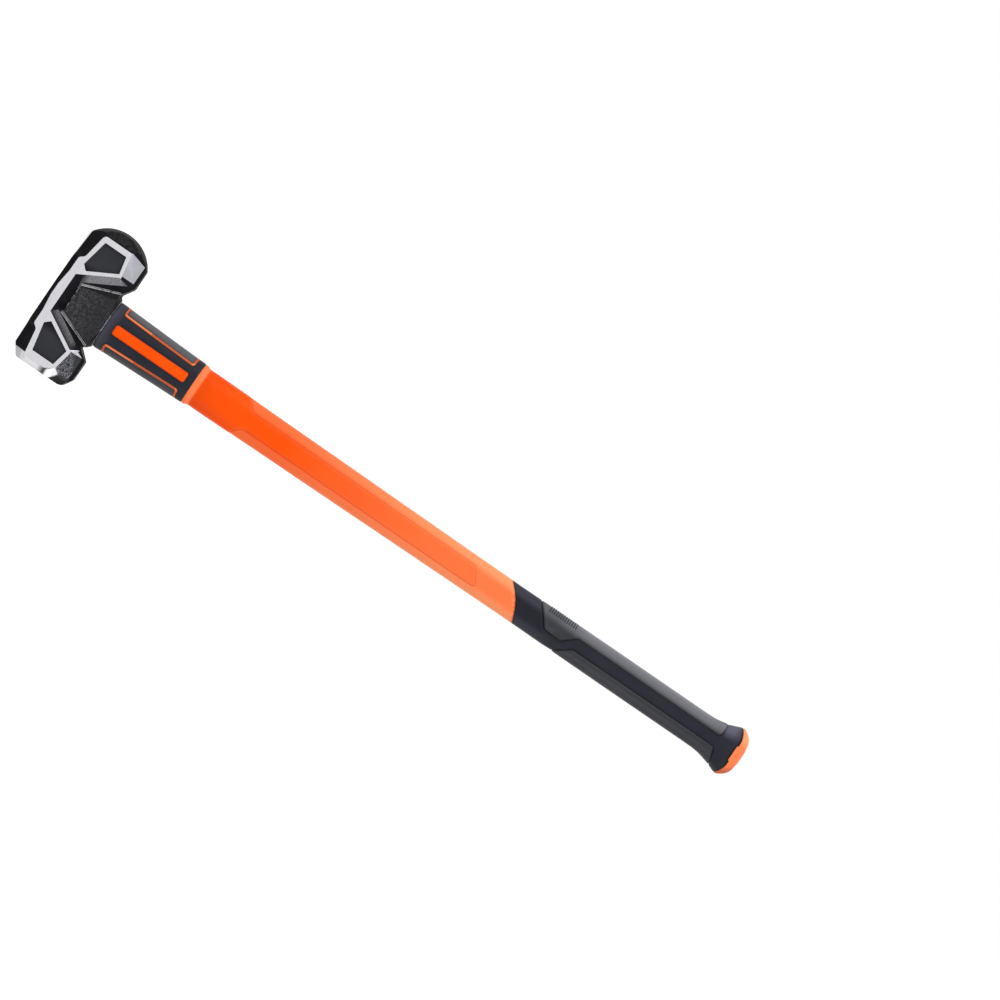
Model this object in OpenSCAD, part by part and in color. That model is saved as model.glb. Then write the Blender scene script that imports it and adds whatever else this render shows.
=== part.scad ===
// Sledgehammer with a forged double-faced head potted on an over-moulded fibreglass handle.
// Millimetres. The hammer stands on the top of its head: the origin is on the handle's axis at
// the head's top face, +Z runs along the handle to the butt, +X points at the flat striking
// face, -X at the crowned one, and the broad cheeks face -Y and +Y.

/* [Head] */
// Width over the two cheeks
head_w = 48; // [47:0.5:56]
// Handle axis to the flat striking face
rim_x = 83.5; // [80:0.5:100]
// Height of the polls, from the head's top to their underside
poll_h = 75; // [74:0.5:90]
// Height of the neck, from the head's top to its seam with the collar
neck_h = 71; // [69:0.5:75]
// Half length of the level stretch on the head's top
top_flat_x = 36; // [30:0.5:42]
// How far the top falls from the level stretch to the flat face's bevel
flat_fall = 0.5; // [0.2:0.1:3]
// How far the top falls from the level stretch to the crowned face's bevel
crown_fall = 1.9; // [1:0.1:4]
// Length of the bevel above and below the flat face, along the head
rim_bevel_l = 13; // [8:0.5:16]
// Height of the bevel above the flat face, along the handle
flat_bevel_h = 9.5; // [6:0.1:12]
// Height of the bevels below the flat face and above the crowned face, along the handle
rim_bevel_h = 8.2; // [5:0.1:12]
// Length of the steeper bevel above the crowned face, along the head
crown_bevel_l = 8; // [6:0.5:13]
// Length of the bevel beside the faces, along the head
side_bevel_l = 6; // [3:0.1:10]
// Depth of that bevel, across the head
side_bevel_w = 4; // [3:0.1:4.5]
// Radius of the crowned face's dome
crown_r = 44; // [42:0.5:60]
// Height of the dome's tip, from the head's top
crown_z = 37; // [34:0.5:42]
// How much farther the dome's tip stands from the handle than the flat face
crown_rise = 9.2; // [4:0.1:12]

/* [Polls] */
// Handle axis to the inner edge of each poll's underside
poll_in_x = 47; // [44:0.5:50]
// Handle axis to the bottom of the throat between the neck and the crowned poll
throat_x = 34.5; // [32:0.5:38]
// Height of the bottom of that throat
throat_z = 66.5; // [62:0.5:68]
// Handle axis to the bottom of the deeper throat between the neck and the flat poll
flat_throat_x = 36; // [34.5:0.5:39]
// Height of the bottom of that deeper throat
flat_throat_z = 62; // [60:0.5:66]
// Handle axis to the deeper throat's inner edge, at the collar seam
flat_neck_x = 29.5; // [29.2:0.1:31]
// Height of the narrow top chamfer beside the eye, in its level middle
eye_chamfer_h = 4.5; // [3:0.1:6]
// Half length of that level middle
eye_level_x = 7; // [4:0.5:12]
// Handle axis to where the narrow top chamfer has its full height
eye_rise_x = 26; // [20:0.5:32]
// Full height of the narrow top chamfer
eye_chamfer_out_h = 6.8; // [6:0.1:8]
// Handle axis to where the wide top chamfer of a poll starts
top_chamfer_x = 43; // [40:0.5:48]
// Length of the step into the wide top chamfer
top_chamfer_step = 3.3; // [2:0.1:6]
// Height of the wide top chamfer at its start
top_chamfer_in_h = 12.2; // [10:0.1:14]
// Height of the wide top chamfer at the face's rim
top_chamfer_out_h = 18.3; // [15:0.1:22]
// How far the top chamfers lean in for each millimetre of height
top_chamfer_lean = 0.9; // [0.6:0.05:1]
// Height on the cheek where the lower chamfer starts, at the face's rim
low_chamfer_out_z = 51; // [48:0.5:56]
// How far the lower chamfers lean in for each millimetre of height
low_chamfer_lean = 0.7; // [0.4:0.05:0.8]

/* [Cheek relief] */
// Middle of the pockets, the recess and the neck plate, along the head from the handle axis
relief_x = -1.5; // [-2.5:0.1:2.5]
// Depth of the kite-shaped pockets
pocket_d = 2.6; // [1:0.1:4]
// Handle axis to the upper corner of each pocket
pocket_top_x = 37.9; // [36:0.1:42]
// Height of each pocket's nose, beside the eye
pocket_nose_z = 21.5; // [19:0.1:24]
// Width of the band between a pocket and the striking face's bevel
band_end_w = 8; // [5:0.1:10]
// Width of the band between a pocket's outer corner and the line of the top chamfer
band_top_w = 6.1; // [4:0.1:8]
// Width of the band between a pocket's upper corner and the line of the top chamfer
band_step_w = 4.9; // [3:0.1:7]
// Width of the band between a pocket and the lower chamfer
band_low_w = 4.6; // [3:0.1:7]
// Width of the band between a pocket's nose and the recess
band_nose_w = 4.7; // [4:0.1:9]
// Width of the band between a pocket's lower corner and the recess
band_slant_w = 4.5; // [2.5:0.1:6]
// Depth of the recess round the neck
recess_d = 4; // [3:0.1:5]
// Half width of the recess at its top edge
recess_top_x = 24; // [20:0.5:25]
// Height of the recess's top edge
recess_top_z = 14.4; // [12:0.1:17]
// Handle axis to the recess's upright lower edges
recess_low_x = 47; // [45:0.5:50]
// Height where the slanted edges of the recess turn upright
recess_turn_z = 55.5; // [53:0.5:58]
// Height of the recess's upright edge, up to the lower chamfer
recess_edge_h = 2.2; // [0.5:0.1:3]
// Width of the recess's sloping wall, along the head
recess_wall_x = 9.6; // [6:0.1:10]
// Width of the recess's upright sloping wall, along the head
recess_foot_x = 5; // [4:0.1:8]
// Width of the recess's sloping wall at its top edge, along the handle
recess_wall_z = 6; // [4:0.1:8]
// Height of the neck plate above the recess's floor
plate_t = 2.4; // [1.5:0.1:2.8]
// Half width of the neck plate at its top edge
plate_top_x = 17; // [14:0.5:17.5]
// Half width of the neck plate at the collar seam
plate_low_x = 34.5; // [30:0.5:36]
// Height of the neck plate's top edge
plate_top_z = 26; // [25:0.5:32]
// Width of the bevel round the neck plate
plate_bevel = 2; // [1:0.1:2.5]

/* [Eye] */
// Half length of the eye at the head's top
eye_top_r = 19.5; // [18.5:0.1:21]
// Half length of the eye at its waist
eye_waist_r = 17; // [16:0.1:18]
// Half length of the eye at the neck
eye_low_r = 18.5; // [17.5:0.1:20]
// Height of the eye's waist
eye_waist_z = 42; // [30:0.5:50]
// Thickness of the soft ring that dams the resin
dam_t = 5; // [3:0.5:8]

/* [Handle] */
// Overall length, from the head's top to the butt
total_l = 898; // [880:1:950]
// Half width of the flat on each broad side of the handle, the core and the eye
flat_x = 6; // [4.5:0.1:7]
// Half width of the fibreglass core
core_r = 14.5; // [12:0.1:15]
// Half width of the shaft below the lip
shaft_top_r = 22.9; // [22:0.1:24.5]
// Thickness of the soft over-mouldings
soft_t = 3; // [2.4:0.1:3.6]
// Height of the raised tongue above the shaft
tongue_t = 0.5; // [0.3:0.1:0.8]
// Half width of the tongue
tongue_x = 10.3; // [8:0.1:13]
// Height where the tongue starts to narrow
tongue_start_z = 242; // [215:1:260]
// Length over which the tongue narrows
tongue_sweep = 16; // [10:1:24]
// Height of the tongue's slanted end, on the handle's axis
tongue_end_z = 552; // [480:1:565]
// Rise of the tongue's slanted end for each millimetre across the handle
tongue_slant = 0.65; // [0.3:0.05:0.9]

/* [Collar] */
// Length of the collar
collar_l = 113; // [105:0.5:125]
// Half width of the collar at the seam
collar_top_r = 27.6; // [26.5:0.1:28.5]
// Width of the head's ledge round the collar at the seam
neck_ledge = 1; // [0.5:0.1:2]
// Half width of the collar at the lip
collar_end_r = 25.2; // [24.5:0.1:26.5]
// Length of the jacket's lip under the collar
lip_l = 4.5; // [3:0.1:7]
// Length over which the lip fades into the shaft
lip_fade_l = 4.5; // [2:0.1:8]
// Seam to the near ends of the stripe and the rings
window_top = 10.7; // [8:0.1:14]
// Lip to the far ends of the stripe and the rings
window_foot = 9; // [6:0.1:12]
// Half width of the middle stripe
stripe_x = 6; // [3:0.1:7]
// Handle axis to the rings at the seam end
ring_top_x = 18.2; // [16:0.1:19]
// Handle axis to the rings at the lip end
ring_foot_x = 14.8; // [12:0.1:16]
// Width of the rings
ring_w = 2.2; // [1.5:0.1:3]

/* [Grip] */
// Half width of the grip
grip_r = 19.9; // [19:0.1:21]
// Height of the grip's slanted start, on the handle's axis
grip_start_z = 602; // [590:1:612]
// Rise of the slanted start for each millimetre across the handle
grip_slant = 0.5; // [0.3:0.05:0.7]
// Thickness of the grip's pads
pad_t = 1.8; // [1:0.1:2]
// Width of the groove round each pad
groove_w = 0.9; // [0.6:0.1:1.4]
// Grip start to the crown-side pad's slanted start, on the handle's axis
crown_pad_start = 38; // [34:0.5:44]
// Rise of the crown-side pad's start for each millimetre across the handle
crown_pad_slant = 0.8; // [0.5:0.05:1]
// How far the crown-side pad's lobe crosses the handle's axis
lobe_x = 5.2; // [3:0.1:7]
// Length of the lobe's straight edge
lobe_l = 22; // [18:0.5:30]
// Rise of the lobe's far edge for each millimetre across the handle
lobe_slant = 1.15; // [0.8:0.05:1.5]
// Handle axis to the crown-side pad's long edge
crown_pad_x = 7.5; // [5:0.1:9]
// Grip start to the flat-side pad's long edge
flat_pad_start = 80; // [74:0.5:90]
// Fall of the flat-side pad's start for each millimetre across the handle
flat_pad_slant = 1.4; // [1:0.05:1.8]
// Handle axis to the flat-side pad's long edge
flat_pad_x = 5.8; // [4:0.1:8]
// Butt to the far ends of the pads' long edges
pad_foot = 32; // [29:0.5:36]
// Rise of the flat-side pad's end for each millimetre across the handle
flat_foot_slant = 0.5; // [0:0.05:0.6]

/* [Butt] */
// Length of the flare at the butt
flare_l = 34; // [28:0.5:40]
// Half width of the butt at its widest
butt_r = 29.2; // [26:0.1:31]
// Butt to its widest ring
butt_ring = 15; // [13.5:0.1:17]
// Length of the cap's bevelled edge
cap_bevel_l = 13; // [10:0.1:14]
// Half width of the cap's gently domed end
cap_end_r = 18; // [14:0.5:20]
// Butt to the crest of the cap's joint with the grip
cap_joint = 8.2; // [7:0.1:10]
// Radius of the cap's curved joint
cap_joint_r = 64; // [50:0.5:70]
// Half width of the cap's key tabs
tab_x = 9.5; // [6:0.5:12]
// Depth of the key tabs from the joint's crest
tab_d = 3.4; // [2:0.1:4]
// Length of the cap's spigot in the jacket's bore
spigot_l = 22; // [18:0.5:30]
// Clearance round and below the spigot
spigot_gap = 0.15; // [0.05:0.05:0.3]

/* [Hidden] */
$fn = 96;

// overshoot of a cut past the face that it opens
over = 2;
// the two narrow sides of the handle
flat_side = 1;
crown_side = -1;

cheek_y = head_w / 2;
crown_tip_x = rim_x + crown_rise;
crown_mid_x = crown_tip_x - crown_r;
neck_r = collar_top_r + neck_ledge;
dam_z = neck_h - dam_t;
collar_end_z = neck_h + collar_l;
lip_end_z = collar_end_z + lip_l;
shaft_z = lip_end_z + lip_fade_l;
flare_z = total_l - butt_ring - flare_l;
joint_crest_z = total_l - cap_joint;
core_end_z = joint_crest_z - tab_d - spigot_l;
// wider than the handle and the head anywhere, for cuts that cross them
beyond = crown_tip_x + over;

// colours of the finishes
steel = [0.20, 0.20, 0.21];
orange = [1.0, 0.36, 0.05];
soft_black = [0.17, 0.18, 0.21];
pad_grey = [0.28, 0.29, 0.31];
fibre = [0.80, 0.76, 0.55];
amber = [0.45, 0.38, 0.20];

// corner p of an outline, moved in by d from both of its edges
function moved_corner(before, p, after, d) =
    let (u = (p - before) / norm(p - before),
        v = (after - p) / norm(after - p),
        n = [-u[1], u[0]],
        m = [-v[1], v[0]])
    p + d * (n + m) / (1 + n * m);

// an anticlockwise outline with every edge moved in by d
function inset(points, d) =
    let (n = len(points))
    [for (i = [0:n - 1]) moved_corner(points[(i + n - 1) % n], points[i], points[(i + 1) % n], d)];

// half widths grown or shrunk, heights kept
function grown(points, by) = [for (p = points) [max(p[0] + by, 0), p[1]]];

// an oval solid on the handle's axis, from its half widths and heights:
// two turned edges with flats between
module oval_turn(points) {
    edge = grown(points, -flat_x);
    last = len(edge) - 1;
    for (x = [-flat_x, flat_x])
        translate([x, 0, 0])
            rotate_extrude()
                polygon(concat([[0, edge[0][1]]], edge, [[0, edge[last][1]]]));
    rotate([90, 0, 90])
        linear_extrude(height = 2 * flat_x, center = true)
            polygon(concat(edge, [for (i = [last:-1:0]) [-edge[i][0], edge[i][1]]]));
}

// a prism right across the hammer, from an outline of [along the head, height]
module across(points) {
    rotate([90, 0, 0])
        linear_extrude(height = 2 * beyond, center = true)
            polygon(points);
}

module both_cheeks() {
    children();
    mirror([0, 1, 0])
        children();
}

module all_four() {
    both_cheeks() {
        children();
        mirror([1, 0, 0])
            children();
    }
}

// a plate between two like outlines at two depths on the -Y cheek, the first one nearer the cheek
module sloped_plate(outer, inner, outer_y, inner_y) {
    n = len(outer);
    polyhedron(
        points = concat([for (p = outer) [p[0], -outer_y, p[1]]],
            [for (p = inner) [p[0], -inner_y, p[1]]]),
        faces = concat([[for (i = [0:n - 1]) n - 1 - i]], [[for (i = [0:n - 1]) n + i]],
            [for (i = [0:n - 1]) [i, (i + 1) % n, n + (i + 1) % n, n + i]]));
}

// Head

head_outline = concat(
    [[top_flat_x, 0], [rim_x - rim_bevel_l, flat_fall], [rim_x, flat_fall + flat_bevel_h],
        [rim_x, poll_h - rim_bevel_h], [rim_x - rim_bevel_l, poll_h], [poll_in_x, poll_h],
        [flat_throat_x, flat_throat_z], [flat_neck_x, neck_h]],
    [[-neck_r, neck_h], [-throat_x, throat_z], [-poll_in_x, poll_h], [-beyond, poll_h],
        [-beyond, crown_fall + rim_bevel_h * (beyond - rim_x + crown_bevel_l) / crown_bevel_l],
        [-rim_x + crown_bevel_l, crown_fall], [-top_flat_x, 0]]);

crown_side_y = cheek_y - side_bevel_w * (beyond - rim_x + side_bevel_l) / side_bevel_l;
head_plan = [[rim_x, -cheek_y + side_bevel_w], [rim_x, cheek_y - side_bevel_w],
    [rim_x - side_bevel_l, cheek_y], [-rim_x + side_bevel_l, cheek_y], [-beyond, crown_side_y],
    [-beyond, -crown_side_y], [-rim_x + side_bevel_l, -cheek_y], [rim_x - side_bevel_l, -cheek_y]];

// the edges of the cheek's polished band, at a distance along the head or at a height
step_x = top_chamfer_x + top_chamfer_step;
recess_slope = (recess_low_x - recess_top_x) / (recess_turn_z - recess_top_z);
function recess_edge(z) = recess_top_x + recess_slope * (z - recess_top_z);
function top_edge(x) =
    top_chamfer_in_h + (top_chamfer_out_h - top_chamfer_in_h) * (x - step_x) / (rim_x - step_x);
low_chamfer_in_z = recess_turn_z + recess_edge_h;
function low_edge(x) = low_chamfer_in_z
    + (low_chamfer_out_z - low_chamfer_in_z) * (x - recess_low_x) / (rim_x - recess_low_x);

// a kite-shaped pocket on the flat side, set in from those edges
pocket_end_x = rim_x - side_bevel_l - band_end_w;
pocket_low_z = low_chamfer_in_z - band_low_w;
pocket = [[recess_edge(pocket_nose_z) + band_nose_w, pocket_nose_z],
    [pocket_top_x, top_edge(pocket_top_x) + band_step_w],
    [pocket_end_x, top_edge(pocket_end_x) + band_top_w],
    [pocket_end_x, low_edge(pocket_end_x) - band_low_w],
    [recess_edge(pocket_low_z) + band_slant_w, pocket_low_z]];

// the recess round the neck: its outline on its floor, and its outline at any depth below the cheek
floor_top_z = recess_top_z + recess_wall_z;
floor_top_x = recess_edge(floor_top_z) - recess_wall_x;
floor_low_x = recess_low_x - recess_foot_x;
floor_turn_z = floor_top_z + (floor_low_x - floor_top_x) / recess_slope;
function recess_outline(top_x, top_z, low_x, turn_z) =
    [[-top_x, top_z], [top_x, top_z], [low_x, turn_z], [low_x, poll_h + over],
        [-low_x, poll_h + over], [-low_x, turn_z]];
function recess_at(depth) =
    let (t = depth / recess_d)
    recess_outline(recess_top_x + t * (floor_top_x - recess_top_x), recess_top_z + t * recess_wall_z,
        recess_low_x - t * recess_foot_x, recess_turn_z + t * (floor_turn_z - recess_turn_z));

function plate_outline(grow) =
    [[-plate_top_x - grow, plate_top_z - grow], [plate_top_x + grow, plate_top_z - grow],
        [plate_low_x + grow, neck_h], [-plate_low_x - grow, neck_h]];

// a chamfer between a cheek and the head's top or underside, along the line (x1, z1) to (x2, z2)
module chamfer_cut(x1, z1, x2, z2, end_z, lean) {
    up = end_z > z1 ? 1 : -1;
    function section(x, z) = [[x, cheek_y + over, z - up * over / lean],
        [x, cheek_y - lean * abs(end_z - z), end_z], [x, cheek_y + over, end_z]];
    faces = [[0, 1, 2], [3, 5, 4], [0, 3, 4, 1], [1, 4, 5, 2], [2, 5, 3, 0]];
    polyhedron(points = concat(section(x1, z1), section(x2, z2)),
        faces = up < 0 ? faces : [for (f = faces) [for (i = [len(f) - 1:-1:0]) f[i]]]);
}

// the top chamfers' line on the cheek, from the handle's axis to past the face
top_line = [[-over, eye_chamfer_h], [eye_level_x, eye_chamfer_h], [eye_rise_x, eye_chamfer_out_h],
    [top_chamfer_x, eye_chamfer_out_h], [step_x, top_chamfer_in_h], [beyond, top_edge(beyond)]];

module poll_chamfers() {
    for (i = [1:len(top_line) - 1])
        chamfer_cut(top_line[i - 1][0], top_line[i - 1][1], top_line[i][0], top_line[i][1], -over,
            top_chamfer_lean);
    chamfer_cut(throat_x, low_edge(throat_x), beyond, low_edge(beyond), poll_h + over,
        low_chamfer_lean);
}

module eye_solid(low, high) {
    intersection() {
        oval_turn([[eye_top_r, -over], [eye_top_r, 0], [eye_waist_r, eye_waist_z],
            [eye_low_r, neck_h], [eye_low_r, neck_h + over]]);
        translate([-beyond, -beyond, low])
            cube([2 * beyond, 2 * beyond, high - low]);
    }
}

// what is turned off one poll to leave its domed face
module crown_waste() {
    difference() {
        translate([-beyond - over, -beyond, -beyond])
            cube([beyond + over - crown_mid_x, 2 * beyond, 3 * beyond]);
        translate([-crown_mid_x, 0, crown_z])
            sphere(r = crown_r);
    }
}

module neck_shoulders() {
    difference() {
        translate([-throat_x, -beyond, throat_z])
            cube([2 * throat_x, 2 * beyond, neck_h - throat_z + over]);
        oval_turn([[throat_x, throat_z - over], [throat_x, throat_z], [neck_r, neck_h],
            [neck_r, neck_h + 2 * over]]);
    }
}

module head_blank() {
    difference() {
        translate([0, 0, -over])
            linear_extrude(height = poll_h + 2 * over)
                polygon(head_plan);
        all_four()
            poll_chamfers();
        translate([relief_x, 0, 0]) {
            all_four()
                translate([0, -cheek_y + pocket_d, 0])
                    rotate([90, 0, 0])
                        linear_extrude(height = pocket_d + over)
                            polygon(pocket);
            both_cheeks()
                sloped_plate(recess_at(-over), recess_at(recess_d), cheek_y + over,
                    cheek_y - recess_d);
        }
    }
    translate([relief_x, 0, 0])
        both_cheeks()
            sloped_plate(plate_outline(0), plate_outline(plate_bevel), cheek_y - recess_d + plate_t,
                cheek_y - recess_d);
}

module head() {
    color(steel)
        difference() {
            intersection() {
                across(head_outline);
                head_blank();
            }
            crown_waste();
            neck_shoulders();
            eye_solid(-over, neck_h + over);
        }
}

// Eye

module core_solid(low, high, gap = 0) {
    oval_turn([[core_r - gap, low], [core_r - gap, high]]);
}

module core_rod() {
    color(fibre)
        core_solid(0, core_end_z);
}

module eye_resin() {
    color(amber)
        difference() {
            eye_solid(0, dam_z);
            core_solid(-over, neck_h);
        }
}

module resin_dam() {
    color(soft_black)
        difference() {
            eye_solid(dam_z, neck_h);
            core_solid(0, neck_h + over);
        }
}

// Outsides that the handle's pieces share

flare_steps = 6;
function flare_point(t) = [grip_r + (butt_r - grip_r) * t * t, flare_z + flare_l * t];
collar_points = [[collar_top_r, neck_h], [collar_end_r, collar_end_z]];
shaft_points = [[collar_end_r, collar_end_z], [collar_end_r, lip_end_z], [shaft_top_r, shaft_z],
    [grip_r, grip_start_z + grip_slant * grip_r]];
butt_points = concat([for (i = [0:flare_steps]) flare_point(i / flare_steps)],
    [[cap_end_r, total_l - butt_ring + cap_bevel_l], [flat_x, total_l]]);
handle_points = concat(shaft_points, butt_points);

module collar_outside() {
    oval_turn(collar_points);
}

module handle_outside(by = 0) {
    oval_turn(grown(handle_points, by));
}

// Collar

window_top_z = neck_h + window_top;
window_foot_z = collar_end_z - window_foot;
ring_outline = [[beyond, window_foot_z], [ring_foot_x, window_foot_z], [ring_top_x, window_top_z],
    [beyond, window_top_z]];
stripe_outline = [[stripe_x, window_top_z], [stripe_x, window_foot_z], [-stripe_x, window_foot_z],
    [-stripe_x, window_top_z]];

module on_side(side) {
    mirror([side == crown_side ? 1 : 0, 0, 0])
        children();
}

module collar_shell() {
    difference() {
        collar_outside();
        oval_turn(grown(collar_points, -soft_t));
    }
}

module collar_sleeve() {
    color(soft_black)
        difference() {
            collar_shell();
            across(stripe_outline);
            on_side(flat_side)
                across(ring_outline);
            on_side(crown_side)
                across(ring_outline);
        }
}

module collar_pad(side) {
    color(pad_grey)
        intersection() {
            collar_shell();
            on_side(side)
                across(inset(ring_outline, ring_w));
        }
}

module collar_pad_flat_side() {
    collar_pad(flat_side);
}

module collar_pad_crown_side() {
    collar_pad(crown_side);
}

// Jacket

tongue_outline = [[beyond, shaft_z], [beyond, tongue_start_z], [shaft_top_r, tongue_start_z],
    [tongue_x, tongue_start_z + tongue_sweep], [tongue_x, tongue_end_z + tongue_slant * tongue_x],
    [-tongue_x, tongue_end_z - tongue_slant * tongue_x], [-tongue_x, tongue_start_z + tongue_sweep],
    [-shaft_top_r, tongue_start_z], [-beyond, tongue_start_z], [-beyond, shaft_z]];

// everything on the grip's side of its slanted start
grip_zone = [[beyond, grip_start_z + grip_slant * beyond], [beyond, total_l + over],
    [-beyond, total_l + over], [-beyond, grip_start_z - grip_slant * beyond]];

// everything past the cap's curved joint
module cap_zone() {
    rotate([90, 0, 0])
        linear_extrude(height = 2 * beyond, center = true)
            difference() {
                translate([-butt_r - over, flare_z])
                    square([2 * (butt_r + over), total_l - flare_z + over]);
                translate([0, joint_crest_z - cap_joint_r])
                    circle(r = cap_joint_r);
            }
}

module collar_ribs() {
    intersection() {
        collar_outside();
        union() {
            across(stripe_outline);
            for (side = [flat_side, crown_side])
                on_side(side)
                    difference() {
                        across(ring_outline);
                        across(inset(ring_outline, ring_w));
                    }
        }
    }
}

module handle_jacket() {
    color(orange)
        difference() {
            union() {
                oval_turn(concat(grown(collar_points, -soft_t), handle_points));
                collar_ribs();
                intersection() {
                    handle_outside(tongue_t);
                    across(tongue_outline);
                }
            }
            difference() {
                across(grip_zone);
                handle_outside(-soft_t);
            }
            cap_zone();
            core_solid(neck_h - over, total_l);
        }
}

// Grip

pad_foot_z = total_l - pad_foot;
crown_pad_z = grip_start_z + crown_pad_start;
lobe_end_z = crown_pad_z + crown_pad_slant * lobe_x + lobe_l;
flat_pad_z = grip_start_z + flat_pad_start;
pad_out_x = butt_r + over;
crown_pad_outline = [[-pad_out_x, crown_pad_z - crown_pad_slant * pad_out_x],
    [lobe_x, crown_pad_z + crown_pad_slant * lobe_x], [lobe_x, lobe_end_z],
    [-crown_pad_x, lobe_end_z + lobe_slant * (lobe_x + crown_pad_x)], [-crown_pad_x, pad_foot_z],
    [-pad_out_x, pad_foot_z]];
flat_pad_outline = [[pad_out_x, flat_pad_z - flat_pad_slant * (pad_out_x - flat_pad_x)],
    [pad_out_x, pad_foot_z + flat_foot_slant * (pad_out_x - flat_pad_x)],
    [flat_pad_x, pad_foot_z], [flat_pad_x, flat_pad_z]];

module grip_pad(outline) {
    color(pad_grey)
        intersection() {
            difference() {
                handle_outside();
                handle_outside(-pad_t);
            }
            across(inset(outline, groove_w));
        }
}

module grip_pad_flat_side() {
    grip_pad(flat_pad_outline);
}

module grip_pad_crown_side() {
    grip_pad(crown_pad_outline);
}

module tab_zone() {
    across([[tab_x, joint_crest_z - tab_d], [tab_x, joint_crest_z + over],
        [-tab_x, joint_crest_z + over], [-tab_x, joint_crest_z - tab_d]]);
}

module grip_sleeve() {
    color(soft_black)
        difference() {
            intersection() {
                handle_outside();
                across(grip_zone);
            }
            handle_outside(-soft_t);
            difference() {
                union() {
                    across(flat_pad_outline);
                    across(crown_pad_outline);
                }
                handle_outside(-pad_t);
            }
            cap_zone();
            tab_zone();
        }
}

// Butt

module butt_cap() {
    color(orange)
        union() {
            intersection() {
                handle_outside();
                cap_zone();
            }
            intersection() {
                difference() {
                    handle_outside();
                    handle_outside(-soft_t);
                }
                tab_zone();
            }
            core_solid(core_end_z + spigot_gap, joint_crest_z, spigot_gap);
        }
}

head();
core_rod();
eye_resin();
resin_dam();
handle_jacket();
collar_sleeve();
collar_pad_flat_side();
collar_pad_crown_side();
grip_sleeve();
grip_pad_flat_side();
grip_pad_crown_side();
butt_cap();
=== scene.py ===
import math

import bmesh
import bpy
import numpy as np
from mathutils import Matrix, Vector
from mathutils.geometry import delaunay_2d_cdt


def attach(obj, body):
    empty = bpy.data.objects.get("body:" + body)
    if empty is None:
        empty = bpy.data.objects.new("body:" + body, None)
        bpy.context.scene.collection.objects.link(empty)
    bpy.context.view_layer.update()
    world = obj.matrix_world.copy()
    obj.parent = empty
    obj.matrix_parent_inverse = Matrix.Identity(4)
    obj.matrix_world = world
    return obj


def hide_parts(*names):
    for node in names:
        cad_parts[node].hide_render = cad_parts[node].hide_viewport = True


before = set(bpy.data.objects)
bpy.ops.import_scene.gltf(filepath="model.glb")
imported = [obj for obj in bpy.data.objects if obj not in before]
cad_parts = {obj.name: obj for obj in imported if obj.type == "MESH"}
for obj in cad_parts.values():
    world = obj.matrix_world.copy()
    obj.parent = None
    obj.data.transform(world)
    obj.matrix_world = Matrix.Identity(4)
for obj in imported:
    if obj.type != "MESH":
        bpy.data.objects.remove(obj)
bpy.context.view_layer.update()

# Head.
# One drop forging of carbon steel, black from the furnace. The raised cheek bands, the flat face's
# end, one lower facet and the slanted walls beside the neck are then ground and polished bright.

MM = 0.001
CHEEK_Y = 24.0
POCKET_Y = 21.4
FLOOR_Y = 20.0
PLATE_Y = 22.4
RING_X = 76.8
TOP_RING_X = 74.0
CROWN_X = -79.0
PEBBLE_IN_X = 46.2
FACET_IN_X = -51.3
FACET_FOOT_Z = 71.0
POLL_X = 34.4
NECK_Z = 71.0
EDGE = 0.3
# where the bright corner of the ring and each lower facet stop, as two points (x, z) of a line on the
# cheek's view
RING_CORNER = ((70.2, 54.6), (77.0, 42.5))
PEBBLE_END = ((69.4, 52.3), (75.6, 60.2))
FACET_END = ((-78.5, 51.8), (-72.8, 71.2))
# corners (x, z) of the bare steel that runs from the recess's two lower ends on to the facets
GLINT = ((46.5, 56.0), (42.1, 63.0), (45.8, 70.7))
WALL_END = ((-45.9, 67.4), (-43.5, 63.4), (-48.5, 55.9))
FORGED, POLISHED, RING, FACET, WALL, POCKET, PLATE, RIDGE, PEBBLED, CROWN, EDGE_GLINT = range(11)


def feed(tree, node, sockets):
    """Sets a node's inputs, or links them to other nodes' outputs."""
    for name, value in sockets.items():
        if isinstance(value, bpy.types.NodeSocket):
            tree.links.new(value, node.inputs[name])
        else:
            node.inputs[name].default_value = value


def add(tree, kind, sockets=None, **values):
    node = tree.nodes.new(kind)
    for name, value in values.items():
        setattr(node, name, value)
    feed(tree, node, sockets or {})
    return node


def new_material(name):
    material = bpy.data.materials.new(name)
    material.use_nodes = True
    tree = material.node_tree
    return material, tree, tree.nodes["Principled BSDF"]


def new_group(name, inputs, outputs):
    group = bpy.data.node_groups.new(name, "ShaderNodeTree")
    for label, value in inputs:
        socket = group.interface.new_socket(label, in_out="INPUT", socket_type="NodeSocketFloat")
        socket.default_value = value
    for label in outputs:
        group.interface.new_socket(label, in_out="OUTPUT", socket_type="NodeSocketFloat")
    return group, add(group, "NodeGroupInput").outputs, add(group, "NodeGroupOutput")


def use_group(tree, group, **values):
    sockets = {label.replace("_", " "): value for label, value in values.items()}
    return add(tree, "ShaderNodeGroup", sockets, node_tree=group).outputs


def mixed(tree, mask, low, high):
    low, high = (v if isinstance(v, bpy.types.NodeSocket) else (*v, 1) for v in (low, high))
    return add(tree, "ShaderNodeMix", {0: mask, 6: low, 7: high}, data_type="RGBA").outputs[2]


def ranged(tree, value, low, high, to_low=0.0, to_high=1.0):
    return add(tree, "ShaderNodeMapRange", {"Value": value, "From Min": low, "From Max": high,
                                            "To Min": to_low, "To Max": to_high}).outputs["Result"]


def maths(tree, operation, *values, clamp=False):
    node = add(tree, "ShaderNodeMath", dict(enumerate(values)), operation=operation, use_clamp=clamp)
    return node.outputs[0]


def times(tree, first, second):
    return maths(tree, "MULTIPLY", first, second)


def larger(tree, first, second):
    return maths(tree, "MAXIMUM", first, second)


def own_place(tree):
    return add(tree, "ShaderNodeTexCoord").outputs["Object"]


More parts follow.
